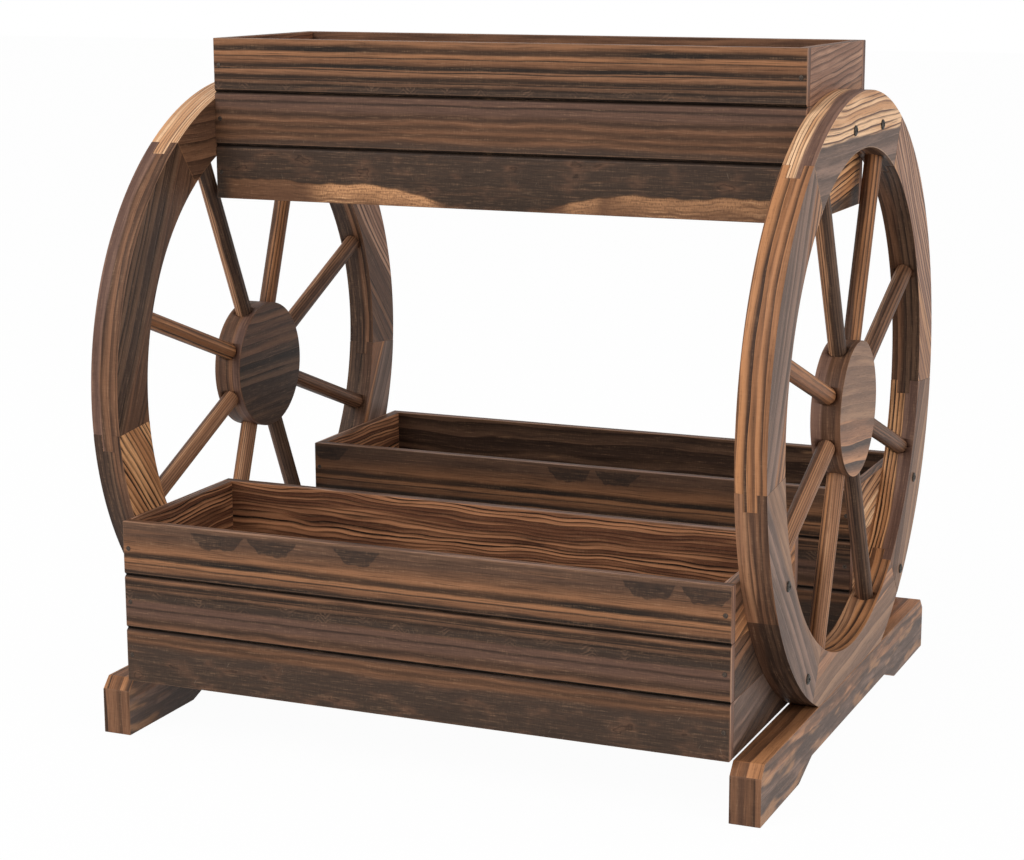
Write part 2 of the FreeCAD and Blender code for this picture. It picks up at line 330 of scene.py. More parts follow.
def sawn_wood(name, far, near=None, border=0.0, scale=1.0, sway=1.0, scorch=0.3, gold=0.0):
    """Scorched and brushed fir, of the family far beyond a border across the grain and of the family
    near before it. Equal looks share one material."""
    look = (far, near, border, scale, sway, scorch, gold)
    if look not in made_woods:
        made_woods[look] = paint_sawn_wood(name, *look)
    return made_woods[look]


def paint_sawn_wood(name, far, near, border, scale, sway, scorch, gold):
    paint = Paint(bpy.data.materials.new(name))
    along, across, seed = paint.grain()
    colour, lines = striped(paint, along, across, seed, far, scale, sway)
    if near:
        other, other_lines = striped(paint, along, across, seed + 60.0, near, scale * 1.2, sway)
        edge = across - border + paint.noise(along / 0.07, 0.5, seed, 1.0) * 0.010
        here = edge.rise(border_softness, -border_softness)
        colour = paint.mix(here, colour, other)
        lines = lines * (1.0 - here) + other_lines * here
    burnt = paint.noise(along / 0.07, across / 0.018, seed + 23.0, 3.0, 0.6) + scorch * 0.4 - 0.3
    colour = paint.mix(burnt.rise(0.0, 0.12) * 0.6, colour, families[far][2])
    if gold:
        patch = paint.noise(along / 0.05, across / 0.011, seed + 41.0, 2.0) + gold * 0.3 - 0.3
        colour = paint.mix(patch.rise(0.0, 0.16) * 0.55, colour, tone(196, 146, 106))
    return surface(paint, along, across, seed, colour, lines, families[far][0])


def dark_line(paint, depth, along, place, width, softness, number):
    """A dark growth line at a depth below the pattern's top. It fades in from above and ends sharply."""
    wander = paint.noise(along / 0.1, number * 2.9, 3.3, 2.0) * 3.0
    swell = 1.5 + paint.noise(along / 0.05, number * 3.7, 0.5, 2.0) * 1.7
    off = (depth - place + wander) / (swell * width)
    faint = 1.05 + paint.noise(along / 0.08, number * 5.1, 8.5) * 0.6
    above = off.rise(-1.3, -0.1)
    beneath = off.rise(0.9 + softness, 0.5 - softness * 0.5)
    return above * beneath * faint * (1.0 - softness * 0.35)


def scratches(paint, along, across, seed, slant):
    """Short thin scratches that lie aslant."""
    first = (along + across * slant) / 0.0009
    second = (across - along * slant) / 0.011
    return paint.noise(first, second, seed, 0.0).rise(0.31, 0.4)


# The pattern of the long boards, in millimetres below its top: a broad tone at each depth,
# then each dark line's depth, half width and softness
board_bands = [
    (0.0, tone(98, 72, 56)),
    (8.0, tone(86, 62, 48)),
    (15.0, tone(114, 79, 56)),
    (19.0, tone(138, 95, 66)),
    (29.0, tone(152, 105, 72)),
    (34.0, tone(116, 79, 55)),
    (42.0, tone(138, 96, 68)),
    (51.0, tone(102, 72, 53)),
    (56.0, tone(62, 48, 39)),
    (60.5, tone(58, 45, 37)),
    (62.0, tone(100, 72, 58)),
    (73.0, tone(96, 69, 54)),
    (81.0, tone(120, 83, 60)),
    (94.0, tone(128, 88, 62)),
    (98.0, tone(74, 54, 42)),
    (101.0, tone(66, 51, 42)),
    (123.0, tone(62, 48, 39)),
    (150.0, tone(52, 39, 30)),
]
board_lines = [
    (24.8, 2.5, 0.1), (31.0, 0.5, 0.5), (37.8, 1.7, 0.1), (41.0, 0.5, 0.3), (46.8, 1.7, 0.2),
    (49.6, 0.6, 0.4), (53.5, 0.9, 0.4), (67.5, 0.8, 0.9), (77.0, 2.1, 0.8), (85.3, 2.2, 0.9),
    (91.5, 2.0, 0.9),
]
pattern_height = 150.0
# The scorched patches at the pattern's top: the middle of each and half its width, in metres
angular_patches = [(-0.166, 0.022), (-0.118, 0.020), (-0.045, 0.018), (0.188, 0.020), (0.232, 0.020)]
# The bright stretches of the golden strip: start, end and softness in metres, and strength
golden_stretches = [(-0.158, -0.052, 0.014, 1.0), (0.1, 0.226, 0.016, 0.55), (0.06, 0.086, 0.006, 0.6)]


def flame(paint, x, along, depth, seed, colour):
    """The unburnt golden strip along the foot of the pattern, with its wavy upper edge."""
    narrowing = along.rise(0.095, 0.03) * 15.0
    edge = narrowing + 131.0 - paint.noise(along / 0.055, 2.2, seed, 3.0) * 18.0
    below = depth - edge
    bright = 0.0
    for start, end, softness, share in golden_stretches:
        bright = x.within(start, end, softness) * share + bright
    streak = paint.noise(along / 0.04, below / 1.7, seed + 2.0, 3.0)
    patch = paint.noise(along / 0.018, depth / 5.0, seed + 7.0, 2.0)
    gold = paint.mix(bright * (0.95 + patch * 1.4), tone(108, 75, 53), tone(200, 146, 102))
    gold = paint.mix((below + streak * 16.0).rise(3.0, 18.0) * 0.8, gold, tone(92, 62, 44))
    gold = paint.mix(streak.rise(0.03, 0.25) * 0.6, gold, tone(70, 47, 33))
    gold = paint.mix(streak.rise(-0.04, -0.3) * bright * 0.7, gold, tone(226, 178, 132))
    threads = paint.noise(along / 0.0009, depth / 3.0, seed, 1.0)
    cloth = threads + paint.noise(along / 0.02, depth / 0.6, seed, 1.0)
    gold = paint.mix(cloth.rise(-0.1, 0.25) * 0.65, gold, tone(96, 66, 47))
    gold = paint.mix(below.rise(1.6, 0.0) * 0.6, gold, black_brown)
    here = below.rise(-0.6, 0.6) * (along + patch * 0.05).rise(0.02, 0.06) * along.rise(0.246, 0.232)
    return paint.mix(here, colour, gold)


def board_pattern(name):
    """The book-matched pattern that runs over all three boards of a wall."""
    paint = Paint(bpy.data.materials.new(name))
    x, below, seed = paint.grain()
    along = x.absolute()
    depth = below * (1 / mm)
    sway = 1.0 + depth.rise(62.0, 80.0) * 4.0
    drift = paint.noise(along / 0.11, depth / 40.0, seed, 1.0) * sway * 1.6
    ripple = paint.noise(along / 0.028, depth / 9.0, seed + 3.0, 1.0) * sway * 0.6
    level = depth + drift + ripple
    stops = [(place / pattern_height, shade) for place, shade in board_bands]
    colour = paint.node("ShaderNodeValToRGB", {"stops": stops}, {0: level / pattern_height})
    mottle = paint.noise(along / 0.07, level / 3.4, seed + 6.0, 3.0)
    burnt = depth.rise(96.0, 103.0)
    colour = paint.mix(mottle.rise(0.0, 0.3) * (0.7 - burnt * 0.4), colour, tone(50, 34, 25))
    colour = paint.mix(mottle.rise(-0.02, -0.32) * (0.4 - burnt * 0.25), colour, tone(150, 103, 72))
    mauve = depth.within(62.0, 74.0, 3.0)
    colour = paint.mix(mauve * 0.5, colour, tone(92, 68, 58))
    lines = 0.0
    for number, (place, width, softness) in enumerate(board_lines):
        line = dark_line(paint, level, along, place, width, softness, number + 1)
        lines = line.most(lines)
    colour = paint.mix(lines * 0.92, colour, charcoal)
    fine = paint.noise(along / 0.045, level / 0.75, seed + 9.0, 2.0)
    calm = depth.within(61.0, 100.0, 2.0)
    share = 0.7 - calm * 0.4 - burnt * 0.35
    colour = paint.mix(fine.rise(-0.03, 0.25) * share, colour, tone(50, 35, 26))
    scorch = 0.0
    for place, half in angular_patches:
        off = (x - place).absolute()
        ragged = paint.noise(x / 0.009, depth / 7.0, 6.0, 2.0) * 0.009
        inward = half + 0.004 - depth * 0.0009 - off + ragged
        scorch = inward.rise(0.0, 0.0016).most(scorch)
    lower = 13.5 + paint.noise(x / 0.012, 1.0, 3.0, 2.0) * 9.0
    scorch = scorch * (lower - depth).rise(0.0, 1.2) * depth.rise(0.8, 2.2)
    smoke = paint.noise(x / 0.008, depth / 3.0, seed + 19.0, 2.0)
    colour = paint.mix(scorch * (0.72 + smoke * 0.7), colour, tone(44, 35, 30))
    jagged = x / 0.016 + paint.noise(x / 0.03, 4.0, 2.0) * 1.5
    zigzag = ((jagged - jagged.floor()) - 0.5).absolute() * 12.0
    hatch = (depth + zigzag + smoke * 5.0) / 3.4
    hatch = (hatch - hatch.floor()).rise(0.35, 0.9) * depth.within(53.0, 61.5, 1.5)
    hatch = hatch * paint.noise(x / 0.022, depth / 30.0, 12.0).rise(0.0, 0.16)
    colour = paint.mix(hatch * 0.5, colour, tone(112, 84, 66))
    knots = paint.noise(x / 0.026, depth / 13.0, seed + 14.0, 2.0).rise(-0.02, 0.24)
    swirl = paint.noise(x / 0.014, depth / 5.0, seed + 17.0, 3.0).rise(-0.3, 0.3)
    knotted = depth.within(101.0, 132.0, 3.0).most(depth.rise(128.0, 132.0) * 0.9)
    colour = paint.mix(knots * swirl * knotted * 0.75, colour, tone(116, 82, 62))
    colour = paint.mix((knots - 0.9).absolute().rise(0.12, 0.0) * knotted * 0.5, colour, black_brown)
    colour = flame(paint, x, along, depth, seed, colour)
    marks = scratches(paint, x, below, seed, 0.55).most(scratches(paint, x, below, seed + 4.0, -0.3))
    marked = depth.within(54.0, 61.0, 2.0).most(depth.within(97.0, 128.0, 4.0))
    colour = paint.mix(marks * (marked * 0.2 + 0.05), colour, pale_scratch)
    return surface(paint, x, below, seed, colour, lines, tone(150, 112, 84))


woods = {
    "board_face": board_pattern("board_face_wood"),
    # painted shadow in the grooves between the long boards
    "seam": sawn_wood("seam_wood", "seam"),
    "board_top": sawn_wood("board_top_wood", "brown", "pink", 3 * mm, scale=0.5),
    "board_inside": sawn_wood("board_inside_wood", "inside", sway=1.3, scorch=0.45),
    "rear_inside": sawn_wood("rear_inside_wood", "orange", "dark", 180 * mm, sway=0.9, gold=0.5),
    "upper_inside": sawn_wood("upper_inside_wood", "brown", sway=0.9, scorch=0.6, gold=0.3),
    "upper_end": sawn_wood("upper_end_wood", "pink", "tan", 6 * mm, sway=0.7),
    "under_end": sawn_wood("under_end_wood", "tiger", "dark", 8 * mm, sway=0.7),
    "front_end_3": sawn_wood("high_front_end_wood", "brown", "orange", 30 * mm, sway=1.4),
    "front_end_2": sawn_wood("middle_front_end_wood", "brown", "dark", 30 * mm, sway=1.4),
    "front_end_1": sawn_wood("low_front_end_wood", "grey", "dark", 14 * mm, sway=1.4),
    "rear_end": sawn_wood("rear_end_wood", "tan", "zebra", 20 * mm),
    "end_grain": sawn_wood("end_grain_wood", "mauve", "pink", 3 * mm, scale=0.5),
    "floor_board": sawn_wood("floor_board_wood", "brown"),
    "hub": sawn_wood("hub_face_wood", "clay", "rose", -8 * mm, sway=0.6, scorch=0.1),
    "dark_hub": sawn_wood(
        "dark_hub_face_wood", "brown", "dark", 14 * mm, sway=0.6, scorch=0.1, gold=0.25,
    ),
    "hub_edge": sawn_wood("hub_edge_wood", "brown", "mauve", 9 * mm, sway=0.4, scorch=0.45),
    "foot_face": sawn_wood("foot_face_wood", "rose", "grey", 30 * mm, scorch=0.95, gold=0.9),
    "foot_top": sawn_wood("foot_top_wood", "orange", scale=0.8, sway=0.4, gold=0.5),
    "foot_end": sawn_wood("foot_end_wood", "brown", scale=1.2, sway=0.6),
}

# The families of the eight spokes, from the first one round
spoke_looks = (
    ("brown", "tan"), ("orange", "brown"), ("dark", "tan"), ("orange", "brown"),
    ("tan", "brown"), ("tan", "orange"), ("dark", "brown"), ("brown", "dark"),
)
for number, (far, near) in enumerate(spoke_looks):
    name = f"spoke_{number}"
    woods[name] = sawn_wood(name + "_wood", far, near, 0.0, scale=0.3, sway=0.15, gold=0.3)

# The families of each rim segment: for its faces the outer one, the inner one and the border between
# them as a distance from the wheel's centre; for its outer and inner edge the same from its inner face
rim_looks = {
    "right": {
        "top": (("zebra", "grey", 208), ("mauve", "zebra", 13), ("dark", "brown", 12)),
        "upper_front": (("grey", "tan", 194), ("amber", "orange", 12), ("brown", "tan", 12)),
        "lower_front": (("grey", "clay", 200), ("brown", "tan", 9), ("brown", "tan", 12)),
        "bottom": (("clay", "rose", 190), ("dark", "brown", 8), ("orange", "tan", 9)),
        "lower_rear": (("clay", "brown", 205), ("brown", "grey", 12), ("mauve", "tiger", 13)),
        "upper_rear": (("pink", "tan", 190), ("brown", "grey", 12), ("dark", "brown", 12)),
    },
    "left": {
        "top": (("orange", "brown", 225), ("zebra", None, 0), ("dark", "brown", 12)),
        "upper_front": (("dark", "brown", 205), ("mauve", "brown", 15), ("dark", "brown", 12)),
        "lower_front": (("tiger", None, 0), ("dark", "brown", 10), ("dark", "brown", 12)),
        "bottom": (("brown", "dark", 205), ("dark", "brown", 10), ("brown", "tan", 12)),
        "lower_rear": (("grey", "orange", 205), ("brown", "grey", 12), ("dark", "brown", 10)),
        "upper_rear": (("pink", "brown", 200), ("brown", "grey", 12), ("dark", "brown", 9)),
    },
}
for side in sides:
    for segment in segments:
        for place, (far, near, border) in zip(("face", "outer", "inner"), rim_looks[side][segment]):
            scale, sway = (1.0, 0.6) if place == "face" else (0.55, 0.35)
            name = f"rim_{far}_{near or far}_{border}_wood"
            wood = sawn_wood(name, far, near, border * mm, scale, sway, gold=0.2)
            woods[f"{side}_{segment}_{place}"] = wood


def dark_steel(name, dark, light):
    """Browned screw and nail heads, a little worn."""
    paint = Paint(bpy.data.materials.new(name))
    place = paint.node("ShaderNodeTexCoord", None, None, output=3)
    values = {"Vector": place, "Scale": 900.0, "Detail": 2.0}
    speck = paint.node("ShaderNodeTexNoise", None, values)
    colour = paint.mix(speck.rise(0.35, 0.75), dark, light)
    return paint.finish(colour, 0.38 + speck * 0.2, speck, 0.0001, metallic=0.6)


screw_steel = dark_steel("screw_steel_finish", tone(42, 38, 34), tone(88, 81, 73))
nail_steel = dark_steel("nail_steel_finish", tone(58, 48, 41), tone(92, 78, 67))

# ---------------------------------------------------------------- dressing the wooden pieces


def new_piece(name, mesh, slot, *nodes):
    piece = added(name, mesh)
    if nodes:
        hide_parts(*nodes)
    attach(piece, "root")
    return piece


shortest_worn_edge = 2.5 * mm
nearly_flat = math.radians(0.6)
sharp_corner = math.radians(35)


def gets_worn(edge):
    if not (edge.is_manifold and edge.is_convex):
        return False
    return edge.calc_face_angle() > sharp_corner and edge.calc_length() > shortest_worn_edge


def worn_mesh(source, name):
    """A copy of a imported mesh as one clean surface, with its sharp edges worn round.
    The faces of the worn edges have material index 1 until the piece is painted."""
    shape = bmesh.new()
    shape.from_mesh(source)
    bmesh.ops.remove_doubles(shape, verts=shape.verts, dist=1e-6)
    bmesh.ops.dissolve_limit(shape, angle_limit=nearly_flat, verts=shape.verts, edges=shape.edges)
    for face in shape.faces:
        face.material_index = 0
    sharp = [edge for edge in shape.edges if gets_worn(edge)]
    made = bmesh.ops.bevel(
        shape, geom=sharp, offset=edge_round, segments=2, profile=0.6, affect="EDGES",
        clamp_overlap=True, material=1,
    )
    for face in made["faces"]:
        face.material_index = 1
    mesh = bpy.data.meshes.new(name)
    mesh.materials.append(None)
    mesh.materials.append(None)
    shape.to_mesh(mesh)
    shape.free()
    return mesh


def smooth(mesh, angle=32):
    mesh.polygons.foreach_set("use_smooth", [True] * len(mesh.polygons))
    mesh.set_sharp_from_angle(angle=math.radians(angle))


def weighted(piece):
    """Lets the large faces keep their flat shading beside the worn edges."""
    keeper = piece.modifiers.new("weighted", "WEIGHTED_NORMAL")
    keeper.keep_sharp = True
    keeper.weight = 100


def plain_mesh(piece, graph):
    """The mesh that a piece's modifiers make of it."""
    whole = piece.evaluated_get(graph)
    return bpy.data.meshes.new_from_object(whole, preserve_all_data_layers=True, depsgraph=graph)


def store_grain(mesh, grain_values, worn_and_shade_values):
    mesh.attributes.new("grain", "FLOAT_VECTOR", "CORNER")
    mesh.attributes.new("wear", "FLOAT", "CORNER")
    mesh.attributes["grain"].data.foreach_set("vector", grain_values)
    mesh.attributes["wear"].data.foreach_set("value", worn_and_shade_values)


dressed = []


def settle_dressed():
    """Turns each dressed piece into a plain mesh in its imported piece's place."""
    graph = bpy.context.evaluated_depsgraph_get()
    meshes = [plain_mesh(piece, graph) for piece, node, slot in dressed]
    for (piece, node, slot), mesh in zip(dressed, meshes):
        piece.modifiers.clear()
        mesh.name = piece.data.name
        piece.data = mesh
        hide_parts(node)
        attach(piece, "root")


def dress(node, slot, chart, finishes):
    """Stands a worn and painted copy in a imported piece's place. chart(middle, normal) says for a face
    which finish it has and gives a function from a point to its place along and across the grain."""
    mesh = worn_mesh(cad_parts[node].data, node + "_mesh")
    grain_values = [0.0] * (3 * len(mesh.loops))
    worn_and_shade_values = [0.0] * len(mesh.loops)
    finish_of = []
    for face in mesh.polygons:
        finish, place = chart(face.center, face.normal)
        worn = 1.0 if face.material_index == 1 else 0.0
        finish_of.append(finish)
        for loop in face.loop_indices:
            point = mesh.vertices[mesh.loops[loop].vertex_index].co
            along, across, seed, *painted_shading = place(point)
            grain_values[3 * loop:3 * loop + 3] = along, across, seed
            # a fourth value from place is painted shade, stored below 0 instead of the face's worn value
            worn_and_shade_values[loop] = -painted_shading[0] if painted_shading else worn
    store_grain(mesh, grain_values, worn_and_shade_values)
    used = sorted(set(finish_of))
    mesh.materials.clear()
    for finish in used:
        mesh.materials.append(finishes[finish])
    mesh.polygons.foreach_set("material_index", [used.index(finish) for finish in finish_of])
    smooth(mesh)
    piece = added(node + "_finished", mesh)
    weighted(piece)
    dressed.append((piece, node, slot))


def seed_of(name):
    """A steady number for each piece's grain. A piece's other faces add a share of one to it."""
    return random.Random(name).randrange(1, 400)


facing = 0.75                   # a face whose normal has more than this along an axis faces that way
lower_chamfer = -0.3            # the chamfer at a long board's foot leans down by more than this
upper_chamfer = 0.05            # and the one at its top leans up by more than this
seam_chamfer = 2.0 * mm
seam_painted_shade = 1.2                # painted shade in a seam's groove, at the top of a lower board's chamfer, less one over its height
box_shade = 0.18                # painted shade on the wall of the rear box behind the front box
rear_pattern_shift = 0.19       # along the wall
pattern_tops = {                # how far the pattern's top lies below the top of each box
    "upper_box": -17.3 * mm,
    "front_box": 2.0 * mm,
    "rear_box": 1.0 * mm,
}
inside_looks = {"rear_box_rear": "rear_inside", "upper_box_rear": "upper_inside"}


def long_board_chart(node):
    """The outer faces of a wall's boards share one pattern, counted down from the wall's top."""
    box = node_box(node)
    outward = 1 if "_rear_board" in node else -1
    seed = seed_of(node)
    wall = node[:-1]
    planter = next(name for name in boxes if node.startswith(name))
    pattern_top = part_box(wall + "3")[1].z - pattern_tops[planter]
    pattern_shift = rear_pattern_shift if planter == "rear_box" else 0.0
    wall_seed = seed_of(wall) % 50
    inside = inside_looks.get(wall[:wall.index("_board")], "board_inside")

    def on_pattern(point):
        return point.x + pattern_shift, pattern_top - point.z, wall_seed

    # Painted shade in the groove above a lower board, darkest at the top of its chamfer and fading down
    # it
    def on_chamfer(point):
        return *on_pattern(point), seam_painted_shade - (box["high"].z - point.z) / seam_chamfer

    # Painted shade on the rear box's front wall, which stands behind the front box
    def in_shade(point):
        return *on_pattern(point), box_shade

    def chart(middle, normal):
        if abs(normal.z) > facing:
            open_edge = node.endswith("3") if normal.z > 0 else node.endswith("1")
            return "board_top" if open_edge else "seam", lambda p: (p.x, p.y - box["low"].y, seed + 0.3)
        if abs(normal.x) > facing:
            return "end_grain", lambda p: (p.z - box["low"].z, p.y - box["low"].y, seed + 0.6)
        if normal.y * outward <= 0:
            return inside, lambda p: (p.x, p.z, seed - seed % 7)
        # the chamfer under a board's foot faces down into the groove and is painted near black as shadow
        if normal.z < lower_chamfer and not node.endswith("1"):
            return "seam", lambda p: (p.x, pattern_top - p.z, wall_seed)
        if normal.z > upper_chamfer and not node.endswith("3"):
            return "board_face", on_chamfer
        # the front wall of the rear box takes painted shade
        return "board_face", in_shade if node.startswith("rear_box_front") else on_pattern

    return chart


end_tilt = {"upper_box": math.radians(6), "front_box": math.radians(12), "rear_box": math.radians(10)}
end_lift = 8 * mm               # up to an end board's foot, from where its grain is measured


def end_board_chart(node):
    """The outer faces of a box's end have slanting grain."""
    box = node_box(node)
    outward = 1 if "_right_" in node else -1
    seed = seed_of(node)
    planter = next(name for name in boxes if node.startswith(name))
    tilt = end_tilt[planter]
    looks = {"upper_box": "upper_end", "front_box": "front_end_" + node[-1], "rear_box": "rear_end"}
    finish = "under_end" if planter == "upper_box" and node.endswith("1") else looks[planter]

    def slanting(point):
        y = point.y - box["low"].y
        z = point.z - box["low"].z
        across = z * math.cos(tilt) - y * math.sin(tilt) + end_lift
        return y * math.cos(tilt) + z * math.sin(tilt), across, seed

    def chart(middle, normal):
        if abs(normal.z) > facing:
            return "board_top", lambda p: (p.y, p.x - box["low"].x, seed + 0.3)
        if normal.x * outward > 0 or abs(normal.y) > facing:
            return finish, slanting
        return "board_inside", lambda p: (p.y, p.z, seed + 0.6)

    return chart


def floor_chart(node):
    seed = seed_of(node)

    def chart(middle, normal):
        if abs(normal.z) > facing:
            return "floor_board", lambda p: (p.x, p.y, seed)
        return "floor_board", lambda p: (p.x, p.z, seed + 0.3)

    return chart


dark_edge_from = math.radians(212)     # beyond this angle a lower front segment's edge takes the bottom segment's dark finish: partly a darker tone of the wood, partly painted shade where the edge faces down
grain_turns = {"top": -4, "upper_rear": 12, "lower_front": 6}     # degrees from square to the radius


def rim_chart(side, segment):
    seed = seed_of(side + segment)
    middle_angle = math.radians(middle_angles[segment])
    grain_angle = middle_angle + math.radians(grain_turns.get(segment, 0))
    outward = Vector((0, math.cos(grain_angle), math.sin(grain_angle)))
    forward = Vector((0, -math.sin(grain_angle), math.cos(grain_angle)))
    centre = Vector((0, 0, rim_centre))
    start = wheel_inside * sides[side]

    def on_face(point):
        way = point - centre
        return way.dot(forward), way.dot(outward), seed

    def round_edge(point):
        way = point - centre
        angle = math.atan2(way.z, way.y) - middle_angle
        angle = (angle + math.pi) % math.tau - math.pi
        return angle * rim_radius, abs(point.x - start), seed + 0.3

    def chart(middle, normal):
        if abs(normal.x) > facing:
            return f"{side}_{segment}_face", on_face
        beyond = Vector((0, middle.y, middle.z - rim_centre)).dot(normal) > 0
        turned = math.atan2(middle.z - rim_centre, middle.y) % math.tau
        # the downward part of this edge is darker, partly in tone and partly as painted shade
        if segment == "lower_front" and beyond and turned > dark_edge_from:
            return f"{side}_bottom_outer", round_edge
        return f"{side}_{segment}_" + ("outer" if beyond else "inner"), round_edge

    return chart


hub_looks = {"right": ("hub", math.radians(-8)), "left": ("dark_hub", math.radians(1))}


def hub_chart(side):
    seed = seed_of(side + "hub")
    finish, tilt = hub_looks[side]

    def on_face(point):
        across = (point.z - hub_centre) * math.cos(tilt) - point.y * math.sin(tilt)
        return point.y * math.cos(tilt) + point.z * math.sin(tilt), across, seed

    def chart(middle, normal):
        if abs(normal.x) > facing:
            return finish, on_face
        start = math.atan2(middle.z - hub_centre, -middle.y)

        def round_edge(point):
            angle = math.atan2(point.z - hub_centre, -point.y) - start
            angle = start + (angle + math.pi) % math.tau - math.pi
            return angle * hub_radius, abs(point.x) - wheel_inside, seed + 0.3

        return "hub_edge", round_edge

    return chart


foot_slope = 0.6                # the slopes of a foot's arch and ends face up or down by more than this


def foot_chart(side):
    seed = seed_of(side + "foot")

    def chart(middle, normal):
        if abs(normal.y) > facing:
            return "foot_end", lambda p: (p.z, p.x, seed + 0.3)
        if abs(normal.z) > foot_slope:
            return "foot_top", lambda p: (p.y, p.x, seed + 0.6)
        return "foot_face", lambda p: (p.y, p.z, seed)

    return chart


for box in boxes:
    for row in rows:
        for wall in ("front", "rear"):
            node = f"{box}_{wall}_board_{row}"
            dress(node, "box_board_wood", long_board_chart(node), woods)
        for side in sides:
            node = f"{box}_{side}_end_{row}"
            dress(node, "box_end_wood", end_board_chart(node), woods)
    dress(f"{box}_floor", "box_floor_wood", floor_chart(f"{box}_floor"), woods)

for side in sides:
    for segment in segments:
        dress(f"{side}_wheel_rim_{segment}", "rim_wood", rim_chart(side, segment), woods)
    dress(f"{side}_wheel_hub", "hub_wood", hub_chart(side), woods)
    dress(f"{side}_foot", "foot_wood", foot_chart(side), woods)
settle_dressed()

# ---------------------------------------------------------------- repeated pieces


class Steps:
    """One Geometry Nodes tree, with named inputs for its sizes."""

    def __init__(self, name, inputs):
        self.tree = bpy.data.node_groups.new(name, "GeometryNodeTree")
        self.tree.interface.new_socket("Geometry", in_out="INPUT", socket_type="NodeSocketGeometry")
        self.keys = {}
        for label, kind in inputs.items():
            socket = self.tree.interface.new_socket(label, in_out="INPUT", socket_type=kind)
            self.keys[label] = socket.identifier
        self.tree.interface.new_socket("Geometry", in_out="OUTPUT", socket_type="NodeSocketGeometry")
        self.given = self.tree.nodes.new("NodeGroupInput")
        self.result = self.tree.nodes.new("NodeGroupOutput")

    def input(self, label):
        return self.given.outputs[label]

    def node(self, kind, settings=None, values=None, output=0):
        made = self.tree.nodes.new(kind)
        for key, value in (settings or {}).items():
            setattr(made, key, value)
        for key, value in (values or {}).items():
            for one in value if isinstance(value, list) else [value]:
                if isinstance(one, bpy.types.NodeSocket):
                    self.tree.links.new(one, made.inputs[key])
                else:
                    made.inputs[key].default_value = one
        return made.outputs[output]

    def sum(self, operation, first, second):
        return self.node("ShaderNodeMath", {"operation": operation}, {0: first, 1: second})

    def finish(self, geometry, material):
        real = self.node("GeometryNodeRealizeInstances", None, {0: geometry})
        painted = self.node("GeometryNodeSetMaterial", None, {"Geometry": real, "Material": material})
        self.tree.links.new(painted, self.result.inputs[0])


def grown(steps, name, start, values):
    """Runs a tree on a starting mesh and returns the plain mesh that it makes."""
    seedling = added(name + "_start", start)
    maker = seedling.modifiers.new("steps", "NODES")
    maker.node_group = steps.tree
    for label, value in values.items():
        maker[steps.keys[label]] = value
    graph = bpy.context.evaluated_depsgraph_get()
    mesh = plain_mesh(seedling, graph)
    mesh.name = name + "_mesh"
    bpy.data.objects.remove(seedling)
    return mesh


def head_steps(name, material, crossed):
    """Fastener heads: a straight edge, a dome and, on screws, a cross recess with its own turn."""
    steps = Steps(name, {
        "Width": "NodeSocketFloat",
        "Edge": "NodeSocketFloat",
        "Dome": "NodeSocketFloat",
        "Recess Span": "NodeSocketFloat",
        "Recess Width": "NodeSocketFloat",
        "Recess Depth": "NodeSocketFloat",
        "Turn Seed": "NodeSocketInt",
    })
    ball = steps.node("GeometryNodeMeshUVSphere", None, {"Segments": 28, "Rings": 14, "Radius": 0.5})
    place = steps.node("GeometryNodeInputPosition")
    parts = steps.node("ShaderNodeSeparateXYZ", None, {0: place}).node
    upper = steps.sum("GREATER_THAN", parts.outputs[2], -0.01)     # the lower half is pressed flat
    height = steps.sum("MULTIPLY", parts.outputs[2], 2.0)
    height = steps.sum("MULTIPLY", height, steps.input("Dome"))
    height = steps.sum("MULTIPLY", steps.sum("ADD", height, steps.input("Edge")), upper)
    across = steps.sum("MULTIPLY", parts.outputs[0], steps.input("Width"))
    along = steps.sum("MULTIPLY", parts.outputs[1], steps.input("Width"))
    new_place = steps.node("ShaderNodeCombineXYZ", None, {0: across, 1: along, 2: height})
    head = steps.node("GeometryNodeSetPosition", None, {"Geometry": ball, "Position": new_place})
    if crossed:
        top = steps.sum("ADD", steps.input("Edge"), steps.input("Dome"))
        deep = steps.sum("MULTIPLY", steps.input("Recess Depth"), 2.0)
        lift = steps.node("ShaderNodeCombineXYZ", None, {2: top})
        bars = []
        for first, second in (("Recess Span", "Recess Width"), ("Recess Width", "Recess Span")):
            corner = {0: steps.input(first), 1: steps.input(second), 2: deep}
            size = steps.node("ShaderNodeCombineXYZ", None, corner)
            bar = steps.node("GeometryNodeMeshCube", None, {"Size": size})
            bars.append(steps.node("GeometryNodeTransform", None, {"Geometry": bar, "Translation": lift}))
        both = {"Mesh 1": head, "Mesh 2": bars}
        head = steps.node("GeometryNodeMeshBoolean", {"operation": "DIFFERENCE"}, both)
    kind = {"data_type": "FLOAT_VECTOR"}
    outward = steps.node("GeometryNodeInputNamedAttribute", kind, {"Name": "outward"})
    aim = steps.node("FunctionNodeAlignRotationToVector", {"axis": "Z"}, {"Vector": outward})
    quarter = {2: 0.0, 3: math.pi / 2, "Seed": steps.input("Turn Seed")}
    turn = steps.node("FunctionNodeRandomValue", {"data_type": "FLOAT"}, quarter, output=1)
    about = steps.node("ShaderNodeCombineXYZ", None, {2: turn})
    spin = steps.node("FunctionNodeEulerToRotation", None, {0: about})
    both = steps.node("FunctionNodeRotateRotation", {"rotation_space": "LOCAL"}, {0: aim, 1: spin})
    heads = steps.node(
        "GeometryNodeInstanceOnPoints", None,
        {"Points": steps.input("Geometry"), "Instance": head, "Rotation": both},
    )
    steps.finish(heads, material)
    return steps


